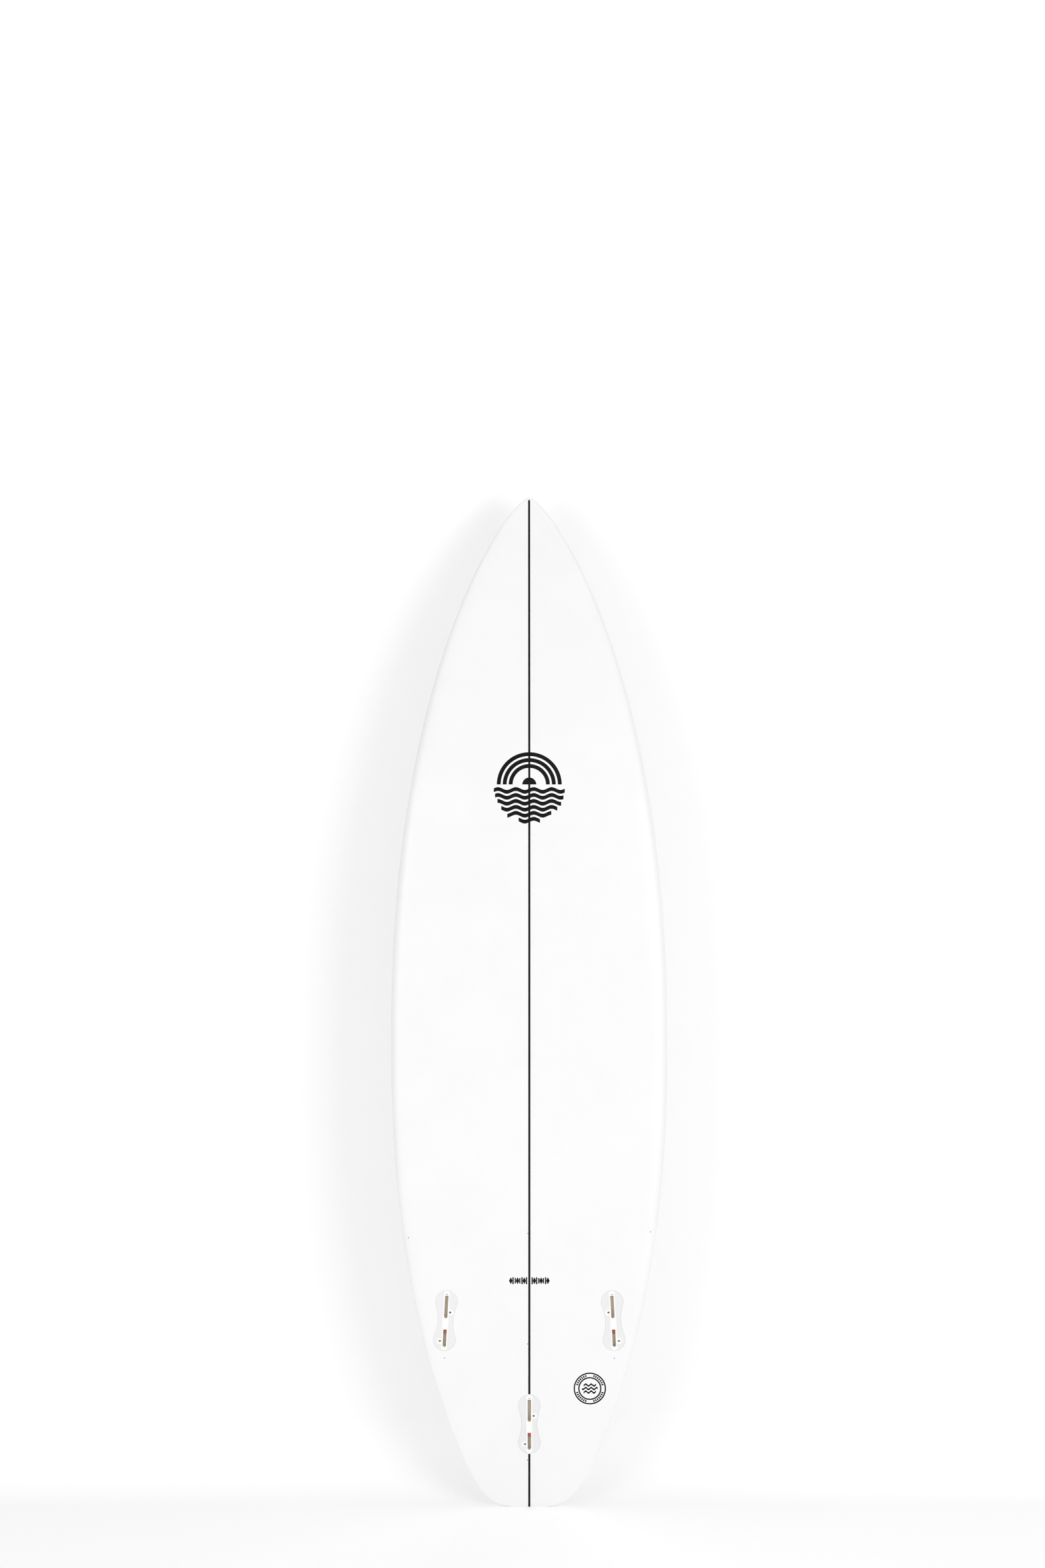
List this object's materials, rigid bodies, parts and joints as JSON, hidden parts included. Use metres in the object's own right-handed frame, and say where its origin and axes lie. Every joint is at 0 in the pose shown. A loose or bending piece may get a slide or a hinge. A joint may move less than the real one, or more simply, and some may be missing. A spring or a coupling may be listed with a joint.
{
  "type": "surfboard",
  "caption": "Short surfboard with pointed nose and rounded squash tail, foam cores, stringer and glass skins, fin boxes without fins and a leash cup.",
  "frame": {"origin": "middle of the flat end of the tail", "axes": "+Z from tail to nose, +Y from the bottom to the deck, +X to the right rail when the bottom is looked at with the nose up"},
  "size_m": [0.5078, 0.1356, 1.88],
  "materials": {
    "foam": "cut polyurethane foam",
    "stringer": "black-stained thin plywood",
    "glass_skin": "white sanded fibreglass and resin, satin",
    "box_plastic": "white sanded moulded plastic",
    "cup_plastic": "white moulded plastic",
    "roller": "moulded red-orange",
    "steel": "turned stainless",
    "screw_steel": "dull stainless",
    "print_paper": "tissue printed in black, wetted out clear by resin"
  },
  "bodies": {
    "board": {"foam_core_left": "foam", "foam_core_right": "foam", "stringer": "stringer", "bottom_glass": "glass_skin", "deck_glass": "glass_skin", "leash_cup": "cup_plastic", "leash_pin": "steel", "mark_paper": "print_paper", "name_paper": "print_paper", "badge_paper": "print_paper", "fin_box_centre": "box_plastic", "roller_axle_centre": "steel", "fin_box_left": "box_plastic", "roller_axle_left": "steel", "fin_box_right": "box_plastic", "roller_axle_right": "steel"},
    "roller_centre": {"roller_centre": "roller"},
    "grub_screw_centre_front": {"grub_screw_centre_front": "screw_steel"},
    "grub_screw_centre_rear": {"grub_screw_centre_rear": "screw_steel"},
    "roller_left": {"roller_left": "roller"},
    "grub_screw_left_front": {"grub_screw_left_front": "screw_steel"},
    "grub_screw_left_rear": {"grub_screw_left_rear": "screw_steel"},
    "roller_right": {"roller_right": "roller"},
    "grub_screw_right_front": {"grub_screw_right_front": "screw_steel"},
    "grub_screw_right_rear": {"grub_screw_right_rear": "screw_steel"}
  },
  "joints": [
    {"name": "roller_spin_centre", "type": "hinge", "parent": "board", "child": "roller_centre", "pos_m": [0, -0.02467, 0.13655], "axis": [1, 0, 0], "continuous": true},
    {"name": "screw_travel_centre_front", "type": "slide", "parent": "board", "child": "grub_screw_centre_front", "axis": [-0.5736, 0.8119, 0.1091], "range_m": [0, 0.003]},
    {"name": "screw_travel_centre_rear", "type": "slide", "parent": "board", "child": "grub_screw_centre_rear", "axis": [0.5736, 0.8119, 0.1091], "range_m": [0, 0.003]},
    {"name": "roller_spin_left", "type": "hinge", "parent": "board", "child": "roller_left", "pos_m": [-0.15415, -0.04597, 0.32869], "axis": [0.9948, -0.0826, -0.0591], "continuous": true},
    {"name": "screw_travel_left_front", "type": "slide", "parent": "board", "child": "grub_screw_left_front", "axis": [-0.4993, 0.8609, 0.0973], "range_m": [0, 0.003]},
    {"name": "screw_travel_left_rear", "type": "slide", "parent": "board", "child": "grub_screw_left_rear", "axis": [0.6419, 0.7662, 0.0295], "range_m": [0, 0.003]},
    {"name": "roller_spin_right", "type": "hinge", "parent": "board", "child": "roller_right", "pos_m": [0.15415, -0.04597, 0.32869], "axis": [0.9948, 0.0826, 0.0591], "continuous": true},
    {"name": "screw_travel_right_front", "type": "slide", "parent": "board", "child": "grub_screw_right_front", "axis": [0.4993, 0.8609, 0.0973], "range_m": [0, 0.003]},
    {"name": "screw_travel_right_rear", "type": "slide", "parent": "board", "child": "grub_screw_right_rear", "axis": [-0.6419, 0.7662, 0.0295], "range_m": [0, 0.003]}
  ]
}
